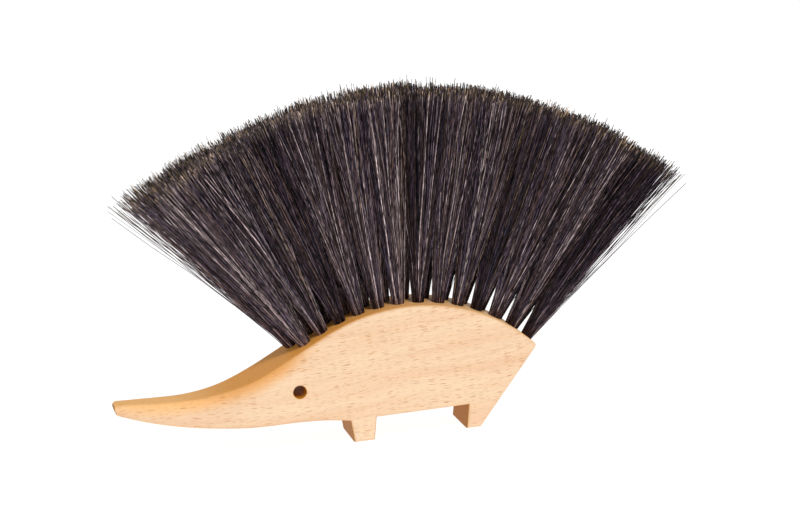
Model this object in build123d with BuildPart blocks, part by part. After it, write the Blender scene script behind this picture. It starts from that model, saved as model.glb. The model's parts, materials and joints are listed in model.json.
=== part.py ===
"""Clothes brush: a one-piece beech block in the shape of a hedgehog, with horsehair spines.

The block is cut from flat board: its side outline runs from a long thin snout, over a hollow
neck and a round back, down a slanted rump to two short legs. Thirteen tufts of long horsehair
stand in each of two staggered rows along the back. Every tuft is folded round a flat wire
staple at the bottom of its blind hole, so the brush is one block, 26 tufts and 26 staples.

Frame: +X runs from the snout to the rump, +Y across the board, +Z up. The origin is on the
surface that the two feet stand on, at the middle of the brush's overall length and thickness.
"""
import os
from math import cos, radians, sin

from build123d import *

# ---- Block, in millimetres and degrees ----
BOARD = 22.0                    # thickness of the board
BACK_X, BACK_Z = 1.55, -19.9    # centre of the round back
BACK_R = 70.0
RUMP_ANGLE = 45.0               # the back runs from the rump's corner ...
BROW_ANGLE = 118.0              # ... to the brow, counted from +X towards +Z
BROW_LENGTH = 23.2              # straight slope below the brow
NECK_R = 75.0                   # hollow neck
NECK_SWEEP = 30.5
NOSE_BRIDGE = 20.5              # straight top of the snout, from the neck to the tip
CHIN_Z = 10.2                   # lowest line of the head
TIP_LOW = (-109.2, 19.2)        # lower corner of the tip, X and Z
TIP_WIDTH = 8.4
CHIN = [(-90.1, 13.3), (-68.6, CHIN_Z), (-43.6, CHIN_Z)]     # underside of the head, X and Z
CHEEK = [(-61.1, 9.9), (-68.6, 8.1), (-86.6, 6.0)]           # half-width of the head, X and Y
CHEEK_END = (-1, -0.06)         # direction of the cheek at the tip
TAPER_START_X = -50.6           # the snout narrows from here to its tip
PLAN_END_X = -112.0             # the plan outline ends just past the tip
EDGE_R = 1.5                    # every edge round the two faces, the tip and the rump's corner

# ---- Legs: X of the front and back edge, at the belly and at the foot ----
BELLY_FRONT_Z, BELLY_REAR_Z = 8.8, 9.3
THROAT_Z = 8.4                  # where the chin line meets the front leg
FRONT_LEG_TOP = (-23.2, -13.0)
FRONT_FOOT = (-22.1, -14.2)
REAR_LEG_TOP_X = 22.9
REAR_FOOT = (21.7, 27.3)

# ---- Eye: a plain hole drilled through the head ----
EYE_X, EYE_Z = -41.8, 22.1
EYE_D = 5.1

# ---- Tufts ----
TUFTS_PER_ROW = 13
PITCH = 6.358                   # angle from one tuft to the next in its row
ROW_START = {"left": 123.8, "right": 123.8 + PITCH / 2}    # each row's first tuft, at the brow
ROW_SIDE = {"left": -1, "right": 1}                        # which side of the middle plane
ROW_OFFSET = 3.8                # from the middle plane to a row's holes
HOLE_D = 4.2
HOLE_DEPTH = 11.0
NECK_D = 4.1                    # a tuft where it is held in its hole
FLARE_R = 71.3                  # the hair begins to spread here, just above the wood
TIP_R = 152.0                   # the hair is trimmed to an arc about the back's centre
TUFT_GAP = 0.3                  # between neighbouring tufts at their tips
TIP_THICKNESS = 14.1            # a tuft's thickness across the brush, at its tip

# ---- Staples: flat wire across the bottom of each hole ----
WIRE_LENGTH = 5.4
WIRE_THICKNESS = 0.5
WIRE_HEIGHT = 1.8
WIRE_LIFT = 0.8                 # hair folded under the wire

HOLE_FLOOR_R = BACK_R - HOLE_DEPTH
WIRE_R = HOLE_FLOOR_R + WIRE_LIFT


def tuft_plane(row, index, radius):
    """Plane across a tuft's axis, at a radius from the back's centre.

    Its X runs along the row, its Y across the brush and its Z out along the tuft.
    """
    angle = radians(ROW_START[row] - index * PITCH)
    return Plane(
        origin=(
            BACK_X + radius * cos(angle),
            ROW_SIDE[row] * ROW_OFFSET,
            BACK_Z + radius * sin(angle),
        ),
        x_dir=(sin(angle), 0, -cos(angle)),
        z_dir=(cos(angle), 0, sin(angle)),
    )


def staple_slot(row, index):
    """Rectangle of the flat wire's plan, lying across the brush on the hair folded under it."""
    with BuildSketch(tuft_plane(row, index, WIRE_R)) as plan:
        Rectangle(WIRE_THICKNESS, WIRE_LENGTH)
    return plan.sketch


stations = [(row, index) for row in ROW_START for index in range(TUFTS_PER_ROW)]
os.makedirs("parts", exist_ok=True)


# ---- Wooden body ----
with BuildPart() as wooden_body:
    # Side outline: from the rump's corner over the back to the snout, then along the underside.
    with BuildSketch(Plane.XZ.offset(-BOARD / 2)):
        with BuildLine():
            back = CenterArc((BACK_X, BACK_Z), BACK_R, RUMP_ANGLE, BROW_ANGLE - RUMP_ANGLE)
            brow = PolarLine(back @ 1, BROW_LENGTH, direction=back % 1)
            neck = JernArc(brow @ 1, brow % 1, NECK_R, -NECK_SWEEP)
            bridge = PolarLine(neck @ 1, NOSE_BRIDGE, direction=neck % 1)
            nose = Line(bridge @ 1, TIP_LOW)
            chin = Spline(nose @ 1, *CHIN, (FRONT_LEG_TOP[0], THROAT_Z))
            Polyline(
                chin @ 1,
                (FRONT_FOOT[0], 0),
                (FRONT_FOOT[1], 0),
                (FRONT_LEG_TOP[1], BELLY_FRONT_Z),
                (REAR_LEG_TOP_X, BELLY_REAR_Z),
                (REAR_FOOT[0], 0),
                (REAR_FOOT[1], 0),
                back @ 0,
            )
        make_face()
    extrude(amount=BOARD)

    # Plan outline: the board's full width to the throat, then a shoulder and a thin snout.
    with BuildSketch(Plane.XY):
        with BuildLine():
            flank = Line((BACK_R, BOARD / 2), (TAPER_START_X, BOARD / 2))
            cheek = Spline(
                flank @ 1,
                *CHEEK,
                (PLAN_END_X, TIP_WIDTH / 2),
                tangents=[(-1, 0), CHEEK_END],
            )
            Line(cheek @ 1, (PLAN_END_X, -TIP_WIDTH / 2))
            Line(flank @ 0, (BACK_R, -BOARD / 2))
            mirror([flank, cheek], about=Plane.XZ)
        make_face()
    extrude(amount=BACK_R, mode=Mode.INTERSECT)

    # Rounded edges: the rims of both faces, the end of the snout and the rump's corner.
    rims = wooden_body.edges().filter_by(Axis.Y, reverse=True).filter_by(Axis.Z, reverse=True)
    corners = wooden_body.edges().filter_by(Axis.Y).sort_by(Axis.X)
    fillet(rims + corners[:2] + corners[-1:], EDGE_R)

    # The eye goes right through the head.
    with Locations(Plane(origin=(EYE_X, -BOARD / 2, EYE_Z), z_dir=(0, -1, 0))):
        Hole(EYE_D / 2, BOARD)

    # Blind holes for the tufts, square to the round back, with the staples' slots beside them.
    for row, index in stations:
        with BuildSketch(tuft_plane(row, index, HOLE_FLOOR_R)):
            Circle(HOLE_D / 2)
        extrude(amount=FLARE_R - HOLE_FLOOR_R, mode=Mode.SUBTRACT)
        extrude(staple_slot(row, index), amount=WIRE_HEIGHT, mode=Mode.SUBTRACT)
wooden_body.part.label = "wooden_body"
export_step(wooden_body.part, "parts/wooden_body.step")


# ---- Tufts: a straight neck in the hole, then a fan of hair trimmed to the tip arc ----
def make_tuft(row, index):
    """One tuft's envelope, with the gap that its staple fills."""
    half_pitch = radians(PITCH / 2)
    loft_r = TIP_R / cos(half_pitch)
    width = 2 * loft_r * sin(half_pitch) - TUFT_GAP
    lean = ROW_SIDE[row] * ((TIP_THICKNESS + TUFT_GAP) / 2 - ROW_OFFSET)
    with BuildPart() as tuft:
        with BuildSketch(tuft_plane(row, index, HOLE_FLOOR_R)):
            Circle(NECK_D / 2)
        extrude(amount=FLARE_R - HOLE_FLOOR_R)
        with BuildSketch(tuft_plane(row, index, FLARE_R)):
            Circle(NECK_D / 2)
        with BuildSketch(tuft_plane(row, index, loft_r)):
            with Locations((0, lean)):
                Ellipse(width / 2, TIP_THICKNESS / 2)
        loft()
        with Locations(Plane(origin=(BACK_X, 0, BACK_Z), z_dir=(0, 1, 0))):
            Cylinder(TIP_R, 2 * BOARD, mode=Mode.INTERSECT)
        extrude(staple_slot(row, index), amount=WIRE_HEIGHT, mode=Mode.SUBTRACT)
    return tuft.part


for row, index in stations:
    hair = make_tuft(row, index)
    hair.label = f"tuft_{row}_{index + 1:02d}"
    export_step(hair, f"parts/{hair.label}.step")


# ---- Staples: one flat wire in each tuft's fold, its ends pressed into the wood ----
def make_staple(row, index):
    """One flat wire staple."""
    with BuildPart() as staple:
        extrude(staple_slot(row, index), amount=WIRE_HEIGHT)
    return staple.part


for row, index in stations:
    wire = make_staple(row, index)
    wire.label = f"staple_{row}_{index + 1:02d}"
    export_step(wire, f"parts/{wire.label}.step")
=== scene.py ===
"""Looks of the clothes brush: oiled beech for the block, strands of horsehair for the tufts.

Everything is in metres, in the frame of the brush: +X from the snout to the rump, +Y across
the board, +Z up from the surface that the feet stand on.
"""

import json
from math import cos, pi, radians, sin

import bpy
import numpy as np
from bpy.props import FloatProperty, FloatVectorProperty, IntProperty, PointerProperty
from bpy.types import Operator, Panel, PropertyGroup
from mathutils import Matrix, Vector


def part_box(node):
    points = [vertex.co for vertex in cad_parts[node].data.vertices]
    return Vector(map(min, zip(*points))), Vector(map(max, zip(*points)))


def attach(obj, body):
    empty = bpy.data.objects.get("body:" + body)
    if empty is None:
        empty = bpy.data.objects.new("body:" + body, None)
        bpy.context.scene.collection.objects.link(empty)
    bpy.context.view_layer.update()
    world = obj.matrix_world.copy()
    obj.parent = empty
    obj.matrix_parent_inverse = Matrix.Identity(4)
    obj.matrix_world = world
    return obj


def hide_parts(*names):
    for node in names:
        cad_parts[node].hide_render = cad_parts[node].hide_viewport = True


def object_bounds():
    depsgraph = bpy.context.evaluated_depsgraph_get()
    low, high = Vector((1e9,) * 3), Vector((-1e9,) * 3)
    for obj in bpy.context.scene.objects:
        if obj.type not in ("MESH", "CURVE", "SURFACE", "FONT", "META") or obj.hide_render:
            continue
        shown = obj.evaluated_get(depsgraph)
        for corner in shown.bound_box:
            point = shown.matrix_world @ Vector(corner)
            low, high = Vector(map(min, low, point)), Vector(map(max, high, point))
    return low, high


bl_info = {
    "name": "Hedgehog Clothes Brush",
    "version": (1, 0, 0),
    "blender": (4, 5, 0),
    "location": "View3D > Sidebar > Brush",
    "description": "Finishes the beech block and strings the horsehair tufts of a clothes brush",
    "category": "Object",
}

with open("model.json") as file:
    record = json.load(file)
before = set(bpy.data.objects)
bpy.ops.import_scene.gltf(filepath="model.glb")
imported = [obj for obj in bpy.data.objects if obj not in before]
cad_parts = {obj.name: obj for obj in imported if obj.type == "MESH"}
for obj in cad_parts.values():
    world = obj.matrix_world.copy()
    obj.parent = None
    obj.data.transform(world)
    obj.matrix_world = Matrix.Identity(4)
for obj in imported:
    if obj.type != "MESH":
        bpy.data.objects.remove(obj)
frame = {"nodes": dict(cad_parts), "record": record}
cad_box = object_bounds()

BODY = "wooden_body"
MM = 0.001


# ---- What the frame gives ----
def nodes_of(kind):
    """Names of the CAD nodes of one kind, such as every staple of the left row, in order."""
    return sorted(name for name in frame["nodes"] if name.startswith(kind))


def middle(node):
    """Middle of a CAD node's box."""
    low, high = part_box(node)
    return np.array((low + high) / 2)


def back_centre():
    """X and Z of the centre of the round back.

    All staples lie on one circle about it. x*x + z*z = 2*a*x + 2*b*z + c holds for every
    point of a circle with centre (a, b), which is linear in a, b and c.
    """
    spots = np.array([middle(name)[[0, 2]] for name in nodes_of("staple_")])
    sums = np.column_stack([2 * spots, np.ones(len(spots))])
    a, b, _ = np.linalg.lstsq(sums, (spots**2).sum(axis=1), rcond=None)[0]
    return np.array([a, b])


CENTRE = back_centre()
WOOD_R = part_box(BODY)[1].z - CENTRE[1]
TIP_R = cad_box[1].z - CENTRE[1]
TUFTS_PER_ROW = len(nodes_of("tuft_left_"))


def tuft_angle(name):
    """Angle of a tuft's axis about the back's centre, from +X towards +Z."""
    spot = middle(name.replace("tuft", "staple"))
    return np.arctan2(spot[2] - CENTRE[1], spot[0] - CENTRE[0])


HALF_PITCH = abs(tuft_angle("tuft_left_01") - tuft_angle("tuft_left_02")) / 2
FAN = [tuft_angle(name) for name in ("tuft_left_01", "tuft_left_%02d" % TUFTS_PER_ROW)]


# ---- Sizes and colours that a user would change ----
def length(name, default, description):
    """A length in metres."""
    return FloatProperty(name=name, description=description, default=default, min=0, unit="LENGTH")


def share(name, default, description):
    """A number from 0 to 1."""
    return FloatProperty(
        name=name, description=description, default=default, min=0, max=1, subtype="FACTOR"
    )


def colour(name, default, description):
    """A linear colour."""
    return FloatVectorProperty(
        name=name, description=description, default=default, min=0, max=1, subtype="COLOR"
    )


def turn(name, default, description):
    """An angle, given in degrees."""
    return FloatProperty(
        name=name, description=description, default=radians(default), subtype="ANGLE"
    )


class BrushWood(PropertyGroup):
    """The beech block's finish."""

    face: colour("Face", (0.90, 0.655, 0.44), "Flat-sawn faces of the board")
    figure: colour("Figure", (0.84, 0.54, 0.335), "Slow bands of the growth rings")
    edge: colour("Edge", (1.0, 0.54, 0.190), "Edges sawn along the grain")
    # Neck: the wood's deep gold, partly darkened as painted shade of the hair over the neck.
    neck: colour("Neck", (0.82, 0.36, 0.075), "The deepest gold, where the neck meets the hair")
    # End grain: the wood's own darker end grain, made darker still as painted shade on faces
    # turned from the light, such as the legs' fronts.
    end: colour("End grain", (0.355, 0.140, 0.009), "Edges cut across the grain")
    fleck: colour("Fleck", (0.56, 0.23, 0.07), "Short ray flecks")
    # Eye shade: painted shade, a darker brown on the wall of the drilled eye for the shade inside
    # the hole.
    eye_shade: colour("Eye shade", (0.62, 0.26, 0.004), "Wall of the drilled eye")
    fleck_length: length("Fleck length", 0.0052, "Spacing of the flecks along the grain")
    fleck_width: length("Fleck width", 0.00043, "Spacing of the flecks across the grain")
    grain_tilt: turn("Grain tilt", 4.0, "How far the grain climbs towards the rump")
    neck_centre: FloatVectorProperty(
        name="Neck centre",
        description="Centre of the hollow of the neck",
        default=(-0.0870, 0, 0.0972),
        subtype="TRANSLATION",
    )
    neck_radius: length("Neck radius", 0.075, "Radius of the hollow of the neck")
    # Rim shade: painted shade of a wider rounded edge, the neck colour carried a few millimetres
    # down the faces.
    rim_shade: length("Rim shade", 0.0068, "Depth of the deeper colour below the neck")
    roughness: share("Roughness", 0.52, "Sheen of the oiled surface")


class BrushHair(PropertyGroup):
    """The horsehair tufts."""

    strands: IntProperty(
        name="Strands", description="Hairs in one tuft", default=640, min=10, max=2000
    )
    width: length("Hair width", 0.00025, "Thickness of one hair")
    neck: length("Neck width", 0.0038, "Width of a tuft where it leaves the wood")
    jag: length("Jag", 0.0009, "How unevenly the hair is trimmed")
    proud: length("Proud ends", 0.0021, "How much longer the hair is at both ends of the fan")
    wave: length("Wave", 0.0004, "How far a hair wanders from its straight line")
    bend: length("Bend", 0.0019, "How far a hair's tip strays from its place")
    reach: length("Reach", 0.0075, "The farthest that a hair's bend may take its tip")
    lean: FloatVectorProperty(
        name="Lean",
        description="How far the tips lean inwards at the head's end and at the rump's end",
        default=(0.0028, 0.0090),
        size=2,
        unit="LENGTH",
    )
    spread: FloatProperty(
        name="Spread",
        description="Width of a tuft's tip as a share of its room on the arc",
        default=1.25,
        min=0.5,
        max=2,
    )
    open_up: FloatProperty(
        name="Opening",
        description="Below 1 a tuft opens near the wood, above 1 near its tip",
        default=0.95,
        min=0.2,
        max=3,
    )
    locks: IntProperty(name="Locks", description="Broad locks in one tuft", default=14, min=1)
    wisps: IntProperty(name="Wisps", description="Fine wisps in one tuft", default=165, min=1)
    gather: share("Gather", 0.45, "How far the hairs of a wisp draw together at their tips")
    part: share("Part", 0.48, "How far the hairs of a lock draw together and leave gaps")
    strays: share("Strays", 0.09, "Share of the hairs that bend far more than the others")
    splay: length("Splay", 0.0021, "How far loose hairs lean out beyond the ends of a row")
    loose: FloatVectorProperty(
        name="Loose",
        description="Share of loose hairs in a row's first and last tuft",
        default=(0.32, 0.015),
        size=2,
        min=0,
        max=1,
    )
    # Head sheen: painted highlight, the hair made lighter towards the head's end and darker
    # towards the rump's.
    fade: share("Fade", 0.40, "How much lighter the hair is at the head than at the rump")
    blue_black: colour("Blue black", (0.070, 0.055, 0.088), "The coldest hair")
    black: colour("Black", (0.083, 0.054, 0.075), "Most of the hair")
    brown: colour("Brown", (0.128, 0.078, 0.062), "Warmer, lighter hair")
    # Grey: the lightest hairs turn grey, partly grey hair and partly the painted neutral sheen of
    # lit hair.
    grey: colour("Grey", (0.104, 0.081, 0.082), "Light grey hair")
    tan: colour("Tan", (0.28, 0.185, 0.120), "Single light hairs")
    # Tip: the brown of worn, trimmed ends, partly a painted glint of the cut ends.
    tip: colour("Tip", (0.128, 0.090, 0.056), "Worn, trimmed ends")


class BrushStage(PropertyGroup):
    """Floor, light and camera."""

    floor: colour("Floor", (0.94, 0.94, 0.935), "Colour of the floor, which is lit from below")
    floor_glow: FloatProperty(
        name="Floor glow", description="Light that comes up through the floor", default=1.0, min=0
    )
    floor_return: share("Floor return", 0.17, "Share of the falling light that the floor returns")
    floor_radius: length("Floor radius", 3.0, "Flat part of the floor")
    room: share("Room light", 0.36, "Brightness of the white room")
    key: FloatProperty(name="Key light", description="Strength of the key light", default=1.5)
    key_azimuth: turn("Key azimuth", 15, "The key light's turn about the brush")
    key_elevation: turn("Key elevation", 55, "The key light's height above the horizon")
    key_softness: turn("Key softness", 14, "Width of the key light as the brush sees it")
    azimuth: turn("Azimuth", -13.322, "Camera's turn about the brush; 0 looks along +Y")
    elevation: turn("Elevation", 12.26, "Camera's height above the horizon")
    roll: turn("Roll", -3.111, "Camera's tilt about its own line of sight")
    distance: length("Distance", 0.7536, "Camera to the point that it looks at")
    lens: FloatProperty(name="Lens", description="Focal length", default=90, unit="CAMERA")
    aim: FloatVectorProperty(
        name="Aim",
        description="Where the camera looks, from the middle of the brush's box",
        default=(0.0014, 0, -0.0026),
        subtype="TRANSLATION",
    )


# ---- Node trees ----
class Wire:
    """One output of a node tree. Arithmetic on it adds the Math nodes that the sum needs."""

    def __init__(self, tree, socket):
        self.tree = tree
        self.socket = socket

    def _maths(self, operation, *values):
        return self.tree.add("Math", {"operation": operation}, dict(enumerate(values)))

    def __add__(self, other):
        return self._maths("ADD", self, other)

    def __sub__(self, other):
        return self._maths("SUBTRACT", self, other)

    def __rsub__(self, other):
        return self._maths("SUBTRACT", other, self)

    def __mul__(self, other):
        return self._maths("MULTIPLY", self, other)

    def __abs__(self):
        return self._maths("ABSOLUTE", self)

    __radd__ = __add__
    __rmul__ = __mul__


class Finish:
    """A material with one Principled shader, built node by node."""

    def __init__(self, name):
        self.material = bpy.data.materials.new(name)
        self.material.use_nodes = True
        self.nodes = self.material.node_tree.nodes
        self.links = self.material.node_tree.links
        self.nodes.clear()
        self.shader = self.nodes.new("ShaderNodeBsdfPrincipled")
        output = self.nodes.new("ShaderNodeOutputMaterial")
        self.links.new(self.shader.outputs["BSDF"], output.inputs["Surface"])

    def add(self, kind, settings=None, inputs=None, output=0):
        """A node of a kind, with its settings made first, then its sockets' values or wires."""
        node = self.nodes.new("ShaderNode" + kind)
        for key, value in (settings or {}).items():
            setattr(node, key, value)
        for key, value in (inputs or {}).items():
            self.put(node.inputs[key], value)
        return Wire(self, node.outputs[output])

    def put(self, socket, value):
        """Links a wire to a socket, or sets a plain value on it."""
        if isinstance(value, Wire):
            self.links.new(value.socket, socket)
        elif socket.type == "RGBA":
            socket.default_value = (*value[:3], 1)
        else:
            socket.default_value = value

    def mix(self, share_of_b, a, b):
        """Colour a turning into colour b."""
        settings = {"data_type": "RGBA"}
        return self.add("Mix", settings, {0: share_of_b, 6: a, 7: b}, output=2)

    def scale_colour(self, tint, amount):
        """A colour made lighter or darker by a number."""
        return self.add("VectorMath", {"operation": "SCALE"}, {0: tint, "Scale": amount})

    def axis(self, vector, name):
        """One of a vector's X, Y and Z."""
        return self.add("SeparateXYZ", None, {"Vector": vector}, output=name)

    def channel(self, tint, name):
        """One of a colour's Red, Green and Blue."""
        return self.add("SeparateColor", None, {"Color": tint}, output=name)

    def greater(self, one, other):
        """The greater of two numbers."""
        return self.add("Math", {"operation": "MAXIMUM"}, {0: one, 1: other})

    def step(self, value, low, high):
        """Smooth step from 0 at low to 1 at high; falls if low is above high."""
        return self.add(
            "MapRange",
            {"interpolation_type": "SMOOTHSTEP"},
            {"Value": value, "From Min": low, "From Max": high},
        )

    def stretched(self, place, cell, turn_about_y=0.0, shift=(0, 0, 0)):
        """Coordinates in units of a cell's length, width and depth, along X, Z and Y."""
        along, across, deep = cell
        turned = self.add(
            "Mapping",
            {"vector_type": "POINT"},
            {"Vector": place, "Rotation": (0, turn_about_y, 0), "Location": shift},
        )
        return self.add(
            "VectorMath",
            {"operation": "MULTIPLY"},
            {0: turned, 1: (1 / along, 1 / deep, 1 / across)},
        )

    def distance(self, place, centre):
        """Distance from a line that runs along Y through a centre."""
        flat = self.add("VectorMath", {"operation": "MULTIPLY"}, {0: place, 1: (1, 0, 1)})
        inputs = {0: flat, 1: (centre[0], 0, centre[2])}
        return self.add("VectorMath", {"operation": "DISTANCE"}, inputs, output="Value")

    def noise(self, place, detail=2.0, rough=0.5, scale=1.0):
        """Fractal noise about 0.5."""
        inputs = {"Vector": place, "Scale": scale, "Detail": detail, "Roughness": rough}
        return self.add("TexNoise", None, inputs)

    def shade(self, **sockets):
        """Sets the Principled shader's sockets; underscores stand for spaces."""
        for key, value in sockets.items():
            self.put(self.shader.inputs[key.replace("_", " ")], value)
        return self.material


# ---- Finishes ----
# A fleck has its full colour over this share of its size, and fades from there to its edge.
FLECK_CORE = 0.55
# Where the finish of the wood changes, as pairs that a smooth step runs between. The first
# three read how squarely a face looks along Y, along X and up, the others X in metres.
SAWN_FACES = (0.94, 0.30)
END_GRAIN = (0.62, 0.95)
FACING_UP = (0.2, 0.6)
HEAD_END = (-0.028, -0.048)
FRONT_HALF = (0.040, -0.030)
NECK_END = (-0.090, -0.062)


def flecks(finish, place, cell, tilt, size, rarity, shift):
    """Ray flecks: one short dash in each stretched cell, fainter where its own number is low.

    A dash is the part of a cell within size of its point, so it is as stretched as the cell.
    """
    spots = finish.stretched(place, cell, tilt, shift)
    settings = {"feature": "F1", "distance": "EUCLIDEAN"}
    inputs = {"Vector": spots, "Scale": 1.0, "Randomness": 1.0}
    near = finish.add("TexVoronoi", settings, inputs, output="Distance")
    tone = finish.add("TexVoronoi", settings, inputs, output="Color")
    dash = finish.step(near, size, size * FLECK_CORE)
    return dash * finish.step(finish.channel(tone, "Red"), rarity, 1.0)


def beech(wood):
    """Oiled flat-sawn beech: pale faces with short flecks, deeper edges, a drilled eye darkened by
    painted shade.
    """
    finish = Finish("oiled_beech")
    where = finish.add("TexCoord", None, None, output="Object")
    facing = finish.add("TexCoord", None, None, output="Normal")
    tilt = wood.grain_tilt

    # The grain wanders a little: each point is pushed by slow noise before it is read.
    drift = finish.noise(finish.stretched(where, (0.045, 0.016, 0.030)), detail=1.0)
    push = finish.add("CombineXYZ", None, {"Z": (drift - 0.5) * 0.006})
    grain = finish.add("VectorMath", {"operation": "ADD"}, {0: where, 1: push})

    long_cell = (wood.fleck_length, wood.fleck_width, 0.012)
    short_cell = (wood.fleck_length * 0.55, wood.fleck_width * 0.62, 0.008)
    bold = flecks(finish, grain, long_cell, tilt, 0.33, 0.15, (0, 0, 0))
    faint = flecks(finish, grain, short_cell, tilt, 0.36, 0.0, (0.031, 0.017, 0.043))

    rings = finish.noise(finish.stretched(grain, (0.085, 0.0065, 0.011), tilt), detail=2.0)
    fibre = finish.noise(finish.stretched(grain, (0.011, 0.00028, 0.0006), tilt), detail=3.0)

    # 0 on the board's two faces, 1 on what is sawn square to them, on end grain, and on top.
    sawn = finish.step(abs(finish.axis(facing, "Y")), *SAWN_FACES)
    cut = finish.step(abs(finish.axis(facing, "X")), *END_GRAIN)
    back = finish.step(finish.axis(facing, "Z"), *FACING_UP)

    # Both are 1 at the head and 0 at the rump: head falls over the brow, front over the back.
    along = finish.axis(where, "X")
    head = finish.step(along, *HEAD_END)
    front = finish.step(along, *FRONT_HALF)

    face = finish.mix(finish.step(rings, 0.38, 0.70) * 0.75, wood.face, wood.figure)
    # From the neck over the front half the edges take the neck colour: the wood's gold, partly
    # painted shade of the hair above.
    edge = finish.mix(finish.step(along, *NECK_END) * front, wood.edge, wood.neck)
    # End grain darkens the edges: partly the wood's own end grain, partly painted shade on faces
    # turned from the light, such as the legs' fronts.
    edge = finish.mix(cut, edge, wood.end)
    # Painted shade of a rounded edge wider than the solid's: the colour of the hollow neck reaches
    # a little way down over the faces.
    below = finish.distance(where, wood.neck_centre) - wood.neck_radius
    rim = finish.step(below, wood.rim_shade, 0.0005) * head * 0.8
    # Painted light: in the rear half, faces that look up take less of the deeper edge colour, so
    # the top of the back is lighter where the light falls.
    deep = sawn * (1 - back * (1 - front) * 0.3)
    tint = finish.mix(finish.greater(deep, rim), face, edge)
    flecked = (bold * 0.80 + faint * 0.55) * (1 - sawn * 0.85)
    tint = finish.mix(flecked, tint, wood.fleck)
    tint = finish.scale_colour(tint, 0.86 + fibre * 0.28)

    # The wall of the drilled eye is darker: painted shade inside the hole.
    eye = next(m for m in frame["record"]["mounts"] if m["name"] == "eye_hole")
    eye_r = eye["dims"]["r_mm"] * MM
    radius = finish.distance(where, eye["pos_m"])
    tint = finish.mix(finish.step(radius, eye_r * 1.07, eye_r * 1.0), tint, wood.eye_shade)

    height = fibre * 0.7 + (1 - bold) * 0.3
    bump = finish.add("Bump", None, {"Height": height, "Strength": 0.25, "Distance": 0.0001})
    return finish.shade(
        Base_Color=tint,
        Roughness=wood.roughness + (fibre - 0.5) * 0.16 + bold * 0.08,
        Normal=bump,
        Specular_IOR_Level=0.14,
    )


def horsehair(hair):
    """Horsehair: black, brown and a few tan hairs, each of one colour, with brown ends that are
    partly worn and partly a painted glint, and with painted glints and sheen along them.

    The strands carry their own numbers: how light, how warm, and how far along.
    """
    finish = Finish("horsehair")
    carried = finish.add(
        "Attribute", {"attribute_name": "strand", "attribute_type": "GEOMETRY"}, output="Color"
    )
    light, warm, along = (finish.channel(carried, name) for name in ("Red", "Green", "Blue"))

    tint = finish.mix(finish.step(warm, 0.02, 0.30), hair.blue_black, hair.black)
    tint = finish.mix(finish.step(warm, 0.35, 0.85), tint, hair.brown)
    # The lightest hairs turn grey: partly grey hair, partly painted neutral sheen.
    tint = finish.mix(finish.step(light, 1.2 / LIGHTEST, 3.0 / LIGHTEST), tint, hair.grey)
    tint = finish.mix(finish.step(warm, 0.90, 0.97), tint, hair.tan)
    # Warm hairs turn brown at their ends: partly worn, trimmed ends, partly a painted glint of the
    # cut ends.
    tint = finish.mix(finish.step(along, 0.93, 0.99) * finish.step(warm, 0.1, 0.5), tint, hair.tip)

    # Painted glints: every hair is lighter and darker in dashes along its length on its own, as w
    # tells the hairs apart.
    where = finish.add("TexCoord", None, None, output="Object")
    inputs = {"Vector": where, "W": light * 60 + warm * 35, "Scale": 400.0, "Detail": 1.0}
    glint_noise = finish.add("TexNoise", {"noise_dimensions": "4D"}, inputs)
    glint = finish.step(glint_noise, 0.28, 0.72) * 1.8 + 0.10
    tint = finish.scale_colour(tint, light * LIGHTEST * glint)
    return finish.shade(Base_Color=tint, Roughness=0.34, Specular_IOR_Level=0.12)


def staple_wire():
    """Drawn flat steel wire: bright metal with fine lines along its length."""
    finish = Finish("staple_wire")
    where = finish.add("TexCoord", None, None, output="Object")
    lines = finish.noise(finish.stretched(where, (0.0002, 0.0002, 0.004)), detail=2.0)
    tint = finish.mix(lines, (0.42, 0.42, 0.43), (0.62, 0.61, 0.60))
    return finish.shade(Base_Color=tint, Metallic=1.0, Roughness=0.25 + lines * 0.25)


# ---- Strands ----
# A hair is a closed tube of this many sides and rings of points.
SIDES = 3
RINGS = 10
# How deep in its hole a hair begins, below the back's surface.
ROOT_DEPTH = 0.0035
# Its lightness is carried as a share of this many times the plain colour.
LIGHTEST = 8.0
# The warmest that a dark hair gets: above it a hair turns tan, as this share of them do.
WARMEST_DARK = 0.89
TAN_SHARE = 0.011
# Lightness is e to the power of a sum of chances with this mean, and these spreads by hair,
# by wisp and by lock.
MEAN_LIGHT = -0.33
HAIR_LIGHT = 0.62
WISP_LIGHT = 0.60
LOCK_LIGHT = 0.30
# How far inside the trimmed arc the hair ends at the middle of the fan, and how much farther
# out that is at the rump's end than at the middle.
TRIM = 0.0017
TRIM_SLOPE = 0.0013
# How unevenly whole tufts are trimmed.
TUFT_JAG = 0.0004
# A tuft's tip is round at 0 and square at 1, and its hairs are scattered about their places.
CORNERS = 0.6
SCATTER = 0.22
# A hair bends on its own, with its wisp and with its lock, as shares of the bend setting.
# A stray hair's own bend is so many times larger, and all bends are smaller across the brush.
OWN_BEND = 1.4
LOCK_BEND = 0.6
STRAY_BEND = 2.2
BEND_ACROSS = 0.6


def place_in_fan(name):
    """Where a tuft stands in its row: -1 at the head's end, 1 at the rump's end."""
    return (2 * tuft_angle(name) - FAN[0] - FAN[1]) / (FAN[1] - FAN[0])


def nearest(spots, count, rng):
    """Groups spots about some of themselves: each one's group, and the groups' middles."""
    middles = spots[rng.choice(len(spots), count, replace=False)]
    return np.argmin(((spots[:, None] - middles) ** 2).sum(axis=2), axis=1), middles


def trimmed_ends(hair, fan_place, lock, wisp, rng):
    """Each hair's end, from the back's centre: an arc, ragged by tuft, lock, wisp and hair."""
    ends = TIP_R - TRIM + TRIM_SLOPE * fan_place + hair.proud * fan_place**8
    ends += rng.normal(0, TUFT_JAG) + rng.normal(0, hair.jag, hair.locks)[lock]
    ends += rng.normal(0, hair.jag, hair.wisps)[wisp] - rng.exponential(hair.jag * 0.8, len(lock))
    return ends


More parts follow.
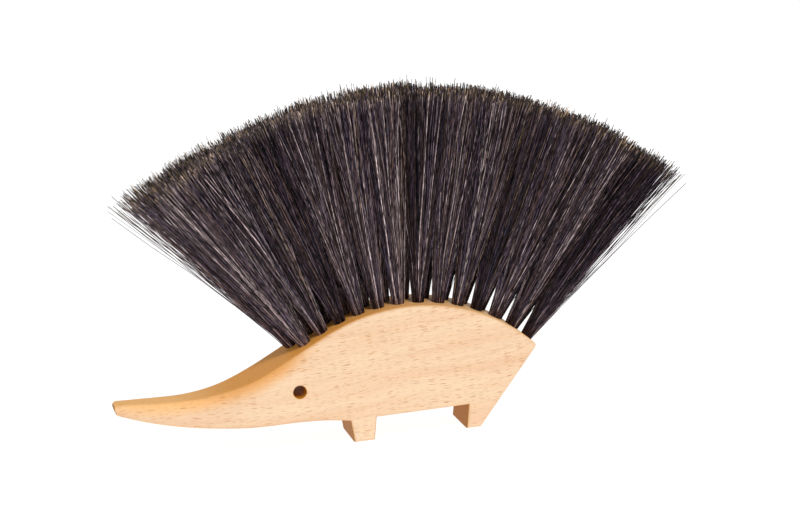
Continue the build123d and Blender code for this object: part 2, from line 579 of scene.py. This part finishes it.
def waves(hair, fan, rng):
    """How far a slow wave takes each ring of each hair aside: none where it leaves the wood.

    It is swing * sin(2 pi * turns * fan + phase), and fan is 0 at the wood and 1 at the tip.
    """
    count = len(fan)
    phase = rng.uniform(0, 2 * pi, (count, 1, 2))
    turns = rng.uniform(0.6, 2.4, (count, 1, 2))
    swing = rng.normal(0, hair.wave, (count, 1, 2)) / turns
    return swing * np.sin(2 * pi * turns * fan + phase) * np.minimum(4 * fan, 1)


def bends(hair, lock, wisp, rng):
    """How far each hair's bend takes its tip along and across the row."""
    count = len(lock)
    bend = rng.normal(0, hair.bend * OWN_BEND, (count, 1, 2))
    bend[rng.random(count) < hair.strays] *= STRAY_BEND
    bend += rng.normal(0, hair.bend, (hair.wisps, 1, 2))[wisp]
    bend += rng.normal(0, hair.bend * LOCK_BEND, (hair.locks, 1, 2))[lock]
    return np.clip(bend, -hair.reach, hair.reach) * (1, BEND_ACROSS)


def loose_ends(name, hair, disc, rng):
    """How far the loose hairs of a row's first and last tuft lean out, where none stands next."""
    number = int(name[-2:])
    free = (number == TUFTS_PER_ROW) - (number == 1)
    outer = np.quantile(free * disc[:, 0], 1 - hair.loose[int(free > 0)])
    return free * (rng.exponential(hair.splay, len(disc)) * (free * disc[:, 0] > outer))


def hair_paths(name, hair, rng):
    """Centre lines of one tuft's hairs, as (hairs, rings, 3), their rise, wisps and locks.

    A hair has a spot (u, v) in the tuft's round neck and keeps it as the tuft fans out: the
    neck's radius turns into half the tuft's room on the tip arc along the row, and half its
    thickness across the brush. Wisps draw their hairs together towards the tip, and a slow
    wave and a bend that grows on the way up take each hair off its line.
    The first and last tufts have no neighbour on one side, where loose hairs lean out.
    """
    count = hair.strands
    angle = tuft_angle(name)
    low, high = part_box(name)
    row_y = middle(name.replace("tuft", "staple"))[1]
    tip_y = (low.y + high.y) / 2 - row_y
    half_tip = np.array([TIP_R * sin(HALF_PITCH) * hair.spread, (high.y - low.y) / 2])

    # Spots in the neck are even over its disc. At the tip they fill a rounded square.
    turns = rng.uniform(0, 2 * pi, count)
    disc = np.sqrt(rng.uniform(0, 1, count))[:, None] * np.stack([np.cos(turns), np.sin(turns)], 1)
    squared = disc / np.maximum(np.abs(np.cos(turns)), np.abs(np.sin(turns)))[:, None] ** CORNERS
    lock, locks = nearest(squared, hair.locks, rng)
    wisp, wisps = nearest(squared, hair.wisps, rng)
    squared = squared + rng.normal(0, SCATTER, (count, 2))

    fan_place = place_in_fan(name) + squared[:, 0] / (TUFTS_PER_ROW - 1)
    ends = trimmed_ends(hair, fan_place, lock, wisp, rng)
    starts = WOOD_R - ROOT_DEPTH
    # Rings stand slightly closer together towards the tip.
    way = np.linspace(0, 1, RINGS) ** 0.9
    radius = starts + way[None] * (ends - starts)[:, None]
    rise = np.clip((radius - WOOD_R) / (TIP_R - WOOD_R), 0, None)

    drawn = hair.gather * rise[..., None] ** 1.5
    spot = (1 - drawn) * squared[:, None] + drawn * wisps[wisp][:, None]
    drawn = hair.part * rise[..., None]
    spot = (1 - drawn) * spot + drawn * locks[lock][:, None]
    fan = rise[..., None] ** hair.open_up
    aside = (1 - fan) * disc[:, None] * (hair.neck / 2) + fan * spot * half_tip
    aside[..., 1] += rise * tip_y

    aside += waves(hair, fan, rng)
    aside += bends(hair, lock, wisp, rng) * fan ** rng.uniform(1.0, 2.4, (count, 1, 1))
    aside[..., 0] += loose_ends(name, hair, disc, rng)[:, None] * rise**1.2
    aside[..., 0] += hair.lean[0] * ((1 - fan_place[:, None]) / 2) ** 4 * rise
    aside[..., 0] -= hair.lean[1] * ((1 + fan_place[:, None]) / 2) ** 2 * rise

    # Aside along the row is measured on the arc about the back's centre.
    turned = angle - aside[..., 0] / radius
    x = CENTRE[0] + radius * np.cos(turned)
    z = CENTRE[1] + radius * np.sin(turned)
    return np.stack([x, row_y + aside[..., 1], z], axis=-1), rise, wisp, lock


def tubes(paths, widths):
    """Closed tubes of a few flat sides along many paths: (points, quads, end caps).

    Each ring's corners stand at equal turns about the path, in the plane square to the
    hair's chord: path + width / 2 * (cos t * across + sin t * square).
    """
    count, rings, _ = paths.shape
    chord = paths[:, -1] - paths[:, 0]
    chord /= np.linalg.norm(chord, axis=1, keepdims=True)
    across = np.cross(chord, (0, 1, 0))
    across /= np.linalg.norm(across, axis=1, keepdims=True)
    square = np.cross(chord, across)
    t = np.arange(SIDES) * 2 * pi / SIDES
    ring = np.cos(t)[:, None] * across[:, None] + np.sin(t)[:, None] * square[:, None]
    points = paths[:, :, None] + widths[:, :, None, None] / 2 * ring[:, None]

    index = np.arange(count * rings * SIDES).reshape(count, rings, SIDES)
    here, there = index[:, :-1], index[:, 1:]
    quads = np.stack([here, np.roll(here, -1, 2), np.roll(there, -1, 2), there], axis=-1)
    caps = np.concatenate([index[:, 0, ::-1], index[:, -1]])
    return points.reshape(-1, 3), quads.reshape(-1, 4), caps


def mesh_from(name, points, *face_groups):
    """A smooth mesh from arrays of points and of faces, each group with one number of corners."""
    mesh = bpy.data.meshes.new(name)
    corners = np.concatenate([group.ravel() for group in face_groups])
    sizes = np.concatenate([np.full(len(group), group.shape[1]) for group in face_groups])
    mesh.vertices.add(len(points))
    mesh.vertices.foreach_set("co", points.astype(np.float32).ravel())
    mesh.loops.add(len(corners))
    mesh.loops.foreach_set("vertex_index", corners.astype(np.int32))
    mesh.polygons.add(len(sizes))
    mesh.polygons.foreach_set("loop_start", (np.cumsum(sizes) - sizes).astype(np.int32))
    mesh.polygons.foreach_set("use_smooth", np.ones(len(sizes), bool))
    mesh.update(calc_edges=True)
    mesh.validate()
    return mesh


def place(name, mesh, material):
    """An object at the origin that shows a mesh in one material."""
    thing = bpy.data.objects.new(name, mesh)
    bpy.context.scene.collection.objects.link(thing)
    mesh.materials.append(material)
    return thing


def make_tuft(name, hair, material, seed):
    """One tuft of strands in the place of its CAD solid."""
    rng = np.random.default_rng(seed)
    paths, rise, wisp, lock = hair_paths(name, hair, rng)
    widths = hair.width * rng.uniform(0.7, 1.25, hair.strands)[:, None] * np.ones_like(rise)
    points, quads, caps = tubes(paths, widths)
    mesh = mesh_from(name.replace("tuft", "hair"), points, quads, caps)

    # Each hair's own numbers: how light, how warm, how far along.
    # How light a hair is: its own tone at random, whose long tail of very light hairs also stands
    # in for painted highlights.
    light = rng.normal(0, HAIR_LIGHT, hair.strands)
    light += rng.normal(MEAN_LIGHT, WISP_LIGHT, hair.wisps)[wisp]
    # The tuft's place in the fan lightens the hair towards the head: a painted highlight.
    light += rng.normal(0, LOCK_LIGHT, hair.locks)[lock] - hair.fade * place_in_fan(name)
    light = np.clip(np.exp(light) / LIGHTEST, 0, 1)
    warm = rng.beta(1.4, 2.0, hair.strands) + rng.normal(0, 0.15, hair.wisps)[wisp]
    warm = np.clip(warm, 0, WARMEST_DARK)
    tan = rng.random(hair.strands) < TAN_SHARE
    warm[tan] = 1.0
    light[tan] = rng.uniform(0.6, 1.6, tan.sum()) / LIGHTEST
    along = np.clip(rise, 0, 1)
    numbers = np.ones((*rise.shape, SIDES, 4))
    numbers[..., 0] = light[:, None, None]
    numbers[..., 1] = warm[:, None, None]
    numbers[..., 2] = along[..., None]
    carried = mesh.attributes.new("strand", "FLOAT_COLOR", "POINT")
    carried.data.foreach_set("color", numbers.astype(np.float32).ravel())

    piece = place(name.replace("tuft", "hair"), mesh, material)
    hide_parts(name)
    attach(piece, "root")
    return piece


# ---- Operators ----
class BRUSH_OT_wooden_body(Operator):
    """Oil the beech block"""

    bl_idname = "brush.wooden_body"
    bl_label = "Wooden Body"

    def execute(self, context):
        finish = beech(context.scene.brush_wood)
        for slot in frame["nodes"][BODY].material_slots:
            slot.material = finish
        return {"FINISHED"}


class BRUSH_OT_staples(Operator):
    """Give the hidden flat wire staples their drawn steel"""

    bl_idname = "brush.staples"
    bl_label = "Staples"

    def execute(self, context):
        finish = staple_wire()
        for name in nodes_of("staple_"):
            for slot in frame["nodes"][name].material_slots:
                slot.material = finish
        return {"FINISHED"}


class BRUSH_OT_tufts(Operator):
    """String both rows of horsehair tufts"""

    bl_idname = "brush.tufts"
    bl_label = "Tufts"

    def execute(self, context):
        hair = context.scene.brush_hair
        finish = horsehair(hair)
        for seed, name in enumerate(nodes_of("tuft_")):
            make_tuft(name, hair, finish, seed)
        return {"FINISHED"}


class BRUSH_OT_stage(Operator):
    """Set the floor, the light and the camera"""

    bl_idname = "brush.stage"
    bl_label = "Stage"

    def execute(self, context):
        stage = context.scene.brush_stage
        set_floor(stage)
        set_light(context.scene, stage)
        set_camera(context.scene, stage)
        return {"FINISHED"}


# ---- Stage ----
def set_floor(stage):
    """Pale floor: a round sheet, flat to floor_radius, whose rim curves up a quarter circle."""
    turns = np.linspace(0, 2 * pi, 97)[:-1]
    rim = np.linspace(0, pi / 2, 13)
    reach = np.concatenate([[0.01, 0.5, 1.5], stage.floor_radius + np.sin(rim)])
    height = np.concatenate([[0, 0, 0], 1 - np.cos(rim)])
    grid = np.stack(
        [
            reach[:, None] * np.cos(turns),
            reach[:, None] * np.sin(turns),
            height[:, None] * np.ones_like(turns),
        ],
        axis=-1,
    )
    index = np.arange(grid.shape[0] * grid.shape[1]).reshape(grid.shape[:2])
    inner, outer = index[:-1], index[1:]
    quads = np.stack([inner, outer, np.roll(outer, -1, 1), np.roll(inner, -1, 1)], axis=-1)
    mesh = mesh_from("floor", grid.reshape(-1, 3), quads.reshape(-1, 4), index[:1])
    finish = Finish("pale_floor")
    where = finish.add("TexCoord", None, None, output="Object")
    cloud = finish.noise(where, detail=1.0, scale=3.0)
    tint = finish.scale_colour(stage.floor, stage.floor_return * (0.98 + cloud * 0.04))
    finish.shade(Emission_Color=stage.floor, Emission_Strength=stage.floor_glow)
    floor = place("floor", mesh, finish.shade(Base_Color=tint, Roughness=0.9))


def towards_viewer(azimuth, elevation):
    """Unit vector from the brush to whatever looks at it from these angles."""
    return Vector(
        (sin(azimuth) * cos(elevation), -cos(azimuth) * cos(elevation), sin(elevation))
    )


def set_light(scene, stage):
    """One soft light from high at the front right, in a white room."""
    world = bpy.data.worlds.new("white_room")
    world.use_nodes = True
    background = world.node_tree.nodes["Background"]
    background.inputs["Color"].default_value = (1, 1, 1, 1)
    background.inputs["Strength"].default_value = stage.room
    scene.world = world
    lamp = bpy.data.lights.new("key_light", "SUN")
    lamp.energy = stage.key
    lamp.angle = stage.key_softness
    key = bpy.data.objects.new("key_light", lamp)
    back = towards_viewer(stage.key_azimuth, stage.key_elevation)
    key.matrix_world = Matrix.Translation(back) @ back.to_track_quat("Z", "Y").to_matrix().to_4x4()
    scene.collection.objects.link(key)
    scene.view_settings.view_transform = "Standard"


def set_camera(scene, stage):
    """The camera looks at the aim point from its azimuth, elevation and distance, rolled."""
    back = towards_viewer(stage.azimuth, stage.elevation)
    right = Vector((0, 0, 1)).cross(back).normalized()
    up = back.cross(right)
    roll = stage.roll
    tilted = cos(roll) * right + sin(roll) * up
    upright = cos(roll) * up - sin(roll) * right
    aim = (cad_box[0] + cad_box[1]) / 2 + Vector(stage.aim)
    seat = aim + back * stage.distance
    lens = bpy.data.cameras.new("camera")
    lens.lens = stage.lens
    lens.sensor_width = 36
    lens.clip_start = 0.01
    camera = bpy.data.objects.new("camera", lens)
    rows = [(tilted[i], upright[i], back[i], seat[i]) for i in range(3)]
    camera.matrix_world = Matrix([*rows, (0, 0, 0, 1)])
    scene.collection.objects.link(camera)
    scene.camera = camera


# ---- Sidebar ----
OPERATORS = (BRUSH_OT_stage, BRUSH_OT_wooden_body, BRUSH_OT_staples, BRUSH_OT_tufts)
SETTINGS = {"brush_wood": BrushWood, "brush_hair": BrushHair, "brush_stage": BrushStage}


class BRUSH_PT_sidebar(Panel):
    """Sizes, colours and steps of the clothes brush"""

    bl_idname = "BRUSH_PT_sidebar"
    bl_label = "Clothes Brush"
    bl_space_type = "VIEW_3D"
    bl_region_type = "UI"
    bl_category = "Brush"

    def draw(self, context):
        for key in SETTINGS:
            group = getattr(context.scene, key)
            part = self.layout.box()
            for name in group.__annotations__:
                part.prop(group, name)
        for operator in OPERATORS:
            self.layout.operator(operator.bl_idname)


def register():
    for kind in (*SETTINGS.values(), *OPERATORS, BRUSH_PT_sidebar):
        bpy.utils.register_class(kind)
    for key, group in SETTINGS.items():
        setattr(bpy.types.Scene, key, PointerProperty(type=group))


def unregister():
    for key in SETTINGS:
        delattr(bpy.types.Scene, key)
    for kind in (*SETTINGS.values(), *OPERATORS, BRUSH_PT_sidebar):
        bpy.utils.unregister_class(kind)


def main():
    """Builds everything in order."""
    register()
    bpy.ops.brush.stage()
    bpy.ops.brush.wooden_body()
    bpy.ops.brush.staples()
    bpy.ops.brush.tufts()


if __name__ == "__main__":
    main()
